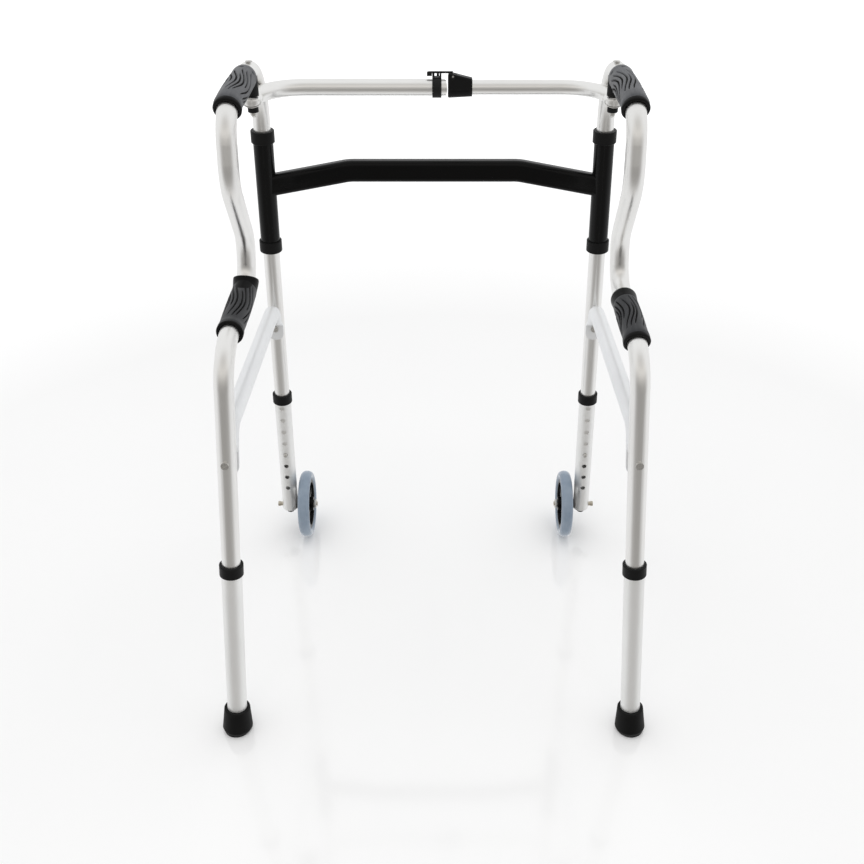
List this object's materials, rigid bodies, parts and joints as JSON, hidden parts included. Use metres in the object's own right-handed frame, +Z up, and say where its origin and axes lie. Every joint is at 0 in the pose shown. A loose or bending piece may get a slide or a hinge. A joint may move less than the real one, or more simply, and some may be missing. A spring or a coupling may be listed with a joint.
{
  "type": "rollator walker",
  "caption": "Folding aluminium walking frame with a high and a low grip on each side, two front wheels, rear rubber tips, telescopic legs and a latched top bar.",
  "frame": {"origin": "on the floor, under the centre of the walker's bounding box", "axes": "+Z up, +Y forward towards the wheels, +X to the user's right"},
  "size_m": [0.6356, 0.5763, 0.8978],
  "materials": {
    "frame_aluminium": "satin anodised",
    "extension_aluminium": "satin anodised",
    "grip_foam": "matte, ribbed",
    "black_enamel": "gloss black",
    "black_plastic": "moulded, slightly worn",
    "steel_fastener": "zinc plated",
    "brass_bolt": "yellow passivated",
    "tyre_rubber": "blue-grey, matte",
    "rim_plastic": "moulded black",
    "tip_rubber": "matte black"
  },
  "bodies": {
    "front_brace": {"cross_brace": "black_enamel", "pivot_sleeve_left": "black_enamel", "sleeve_bush_upper_left": "black_plastic", "sleeve_bush_lower_left": "black_plastic", "pivot_sleeve_right": "black_enamel", "sleeve_bush_upper_right": "black_plastic", "sleeve_bush_lower_right": "black_plastic"},
    "side_frame_left": {"frame_tube_left": "frame_aluminium", "upper_grip_left": "grip_foam", "lower_grip_left": "grip_foam", "side_brace_left": "frame_aluminium", "brace_bolts_left": "steel_fastener", "button_springs_left": "steel_fastener", "bar_saddle_left": "black_plastic", "bar_foot_left": "black_plastic", "bar_pivot_bolt_left": "steel_fastener"},
    "bar_left": {"bar_tube_left": "frame_aluminium", "latch_ring": "black_plastic"},
    "front_leg_left": {"front_extension_left": "extension_aluminium", "front_collar_left": "black_plastic", "axle_bolt_left": "brass_bolt", "axle_nut_left": "steel_fastener", "axle_spacer_left": "black_plastic", "end_plug_left": "black_plastic"},
    "rear_leg_left": {"rear_extension_left": "extension_aluminium", "rear_collar_left": "black_plastic", "rubber_tip_left": "tip_rubber"},
    "wheel_left": {"tyre_left": "tyre_rubber", "wheel_rim_left": "rim_plastic", "wheel_bush_left": "black_plastic"},
    "button_front_left": {"snap_button_front_left": "steel_fastener"},
    "button_rear_left": {"snap_button_rear_left": "steel_fastener"},
    "side_frame_right": {"frame_tube_right": "frame_aluminium", "upper_grip_right": "grip_foam", "lower_grip_right": "grip_foam", "side_brace_right": "frame_aluminium", "brace_bolts_right": "steel_fastener", "button_springs_right": "steel_fastener", "bar_saddle_right": "black_plastic", "bar_foot_right": "black_plastic", "bar_pivot_bolt_right": "steel_fastener"},
    "bar_right": {"bar_tube_right": "frame_aluminium", "latch_housing": "black_plastic", "latch_pin": "steel_fastener"},
    "front_leg_right": {"front_extension_right": "extension_aluminium", "front_collar_right": "black_plastic", "axle_bolt_right": "brass_bolt", "axle_nut_right": "steel_fastener", "axle_spacer_right": "black_plastic", "end_plug_right": "black_plastic"},
    "rear_leg_right": {"rear_extension_right": "extension_aluminium", "rear_collar_right": "black_plastic", "rubber_tip_right": "tip_rubber"},
    "wheel_right": {"tyre_right": "tyre_rubber", "wheel_rim_right": "rim_plastic", "wheel_bush_right": "black_plastic"},
    "button_front_right": {"snap_button_front_right": "steel_fastener"},
    "button_rear_right": {"snap_button_rear_right": "steel_fastener"},
    "latch_lever": {"latch_lever": "black_plastic"}
  },
  "joints": [
    {"name": "fold_left", "type": "hinge", "parent": "front_brace", "child": "side_frame_left", "pos_m": [-0.25717, 0.18419, 0.679], "axis": [0.0294, -0.066, 0.9974], "range_deg": [0, 80]},
    {"name": "bar_swing_left", "type": "hinge", "parent": "side_frame_left", "child": "bar_left", "pos_m": [-0.246, 0.0778, 0.843], "axis": [0, 0, 1], "range_deg": [-90, 0]},
    {"name": "fold_right", "type": "hinge", "parent": "front_brace", "child": "side_frame_right", "pos_m": [0.25717, 0.18419, 0.679], "axis": [-0.0294, -0.066, 0.9974], "range_deg": [-80, 0]},
    {"name": "bar_swing_right", "type": "hinge", "parent": "side_frame_right", "child": "bar_right", "pos_m": [0.246, 0.0778, 0.843], "axis": [0, 0, 1], "range_deg": [0, 90]},
    {"name": "latch_lift", "type": "hinge", "parent": "bar_right", "child": "latch_lever", "pos_m": [0.028, 0.1578, 0.859], "axis": [0, 1, 0], "range_deg": [0, 15], "stiffness_Nm_per_rad": 0.3, "springref_deg": -11.46},
    {"name": "front_leg_slide_left", "type": "slide", "parent": "side_frame_left", "child": "front_leg_left", "axis": [-0.0294, 0.066, -0.9974], "range_m": [-0.0762, 0.0762]},
    {"name": "rear_leg_slide_left", "type": "slide", "parent": "side_frame_left", "child": "rear_leg_left", "axis": [-0.062, -0.0751, -0.9953], "range_m": [-0.0762, 0.0762]},
    {"name": "wheel_spin_left", "type": "hinge", "parent": "front_leg_left", "child": "wheel_left", "pos_m": [-0.24356, 0.22497, 0.0625], "axis": [1, 0, 0], "continuous": true},
    {"name": "snap_front_left", "type": "slide", "parent": "side_frame_left", "child": "button_front_left", "axis": [0.0019, 0.9978, 0.0659], "range_m": [0, 0.005], "stiffness_N_per_m": 1500, "springref_m": -0.002, "deforming": ["button_springs_left"]},
    {"name": "snap_rear_left", "type": "slide", "parent": "side_frame_left", "child": "button_rear_left", "axis": [0.0047, -0.9972, 0.0749], "range_m": [0, 0.005], "stiffness_N_per_m": 1500, "springref_m": -0.002, "deforming": ["button_springs_left"]},
    {"name": "front_leg_slide_right", "type": "slide", "parent": "side_frame_right", "child": "front_leg_right", "axis": [0.0294, 0.066, -0.9974], "range_m": [-0.0762, 0.0762]},
    {"name": "rear_leg_slide_right", "type": "slide", "parent": "side_frame_right", "child": "rear_leg_right", "axis": [0.062, -0.0751, -0.9953], "range_m": [-0.0762, 0.0762]},
    {"name": "wheel_spin_right", "type": "hinge", "parent": "front_leg_right", "child": "wheel_right", "pos_m": [0.24356, 0.22497, 0.0625], "axis": [1, 0, 0], "continuous": true},
    {"name": "snap_front_right", "type": "slide", "parent": "side_frame_right", "child": "button_front_right", "axis": [-0.0019, 0.9978, 0.0659], "range_m": [0, 0.005], "stiffness_N_per_m": 1500, "springref_m": -0.002, "deforming": ["button_springs_right"]},
    {"name": "snap_rear_right", "type": "slide", "parent": "side_frame_right", "child": "button_rear_right", "axis": [-0.0047, -0.9972, 0.0749], "range_m": [0, 0.005], "stiffness_N_per_m": 1500, "springref_m": -0.002, "deforming": ["button_springs_right"]}
  ]
}
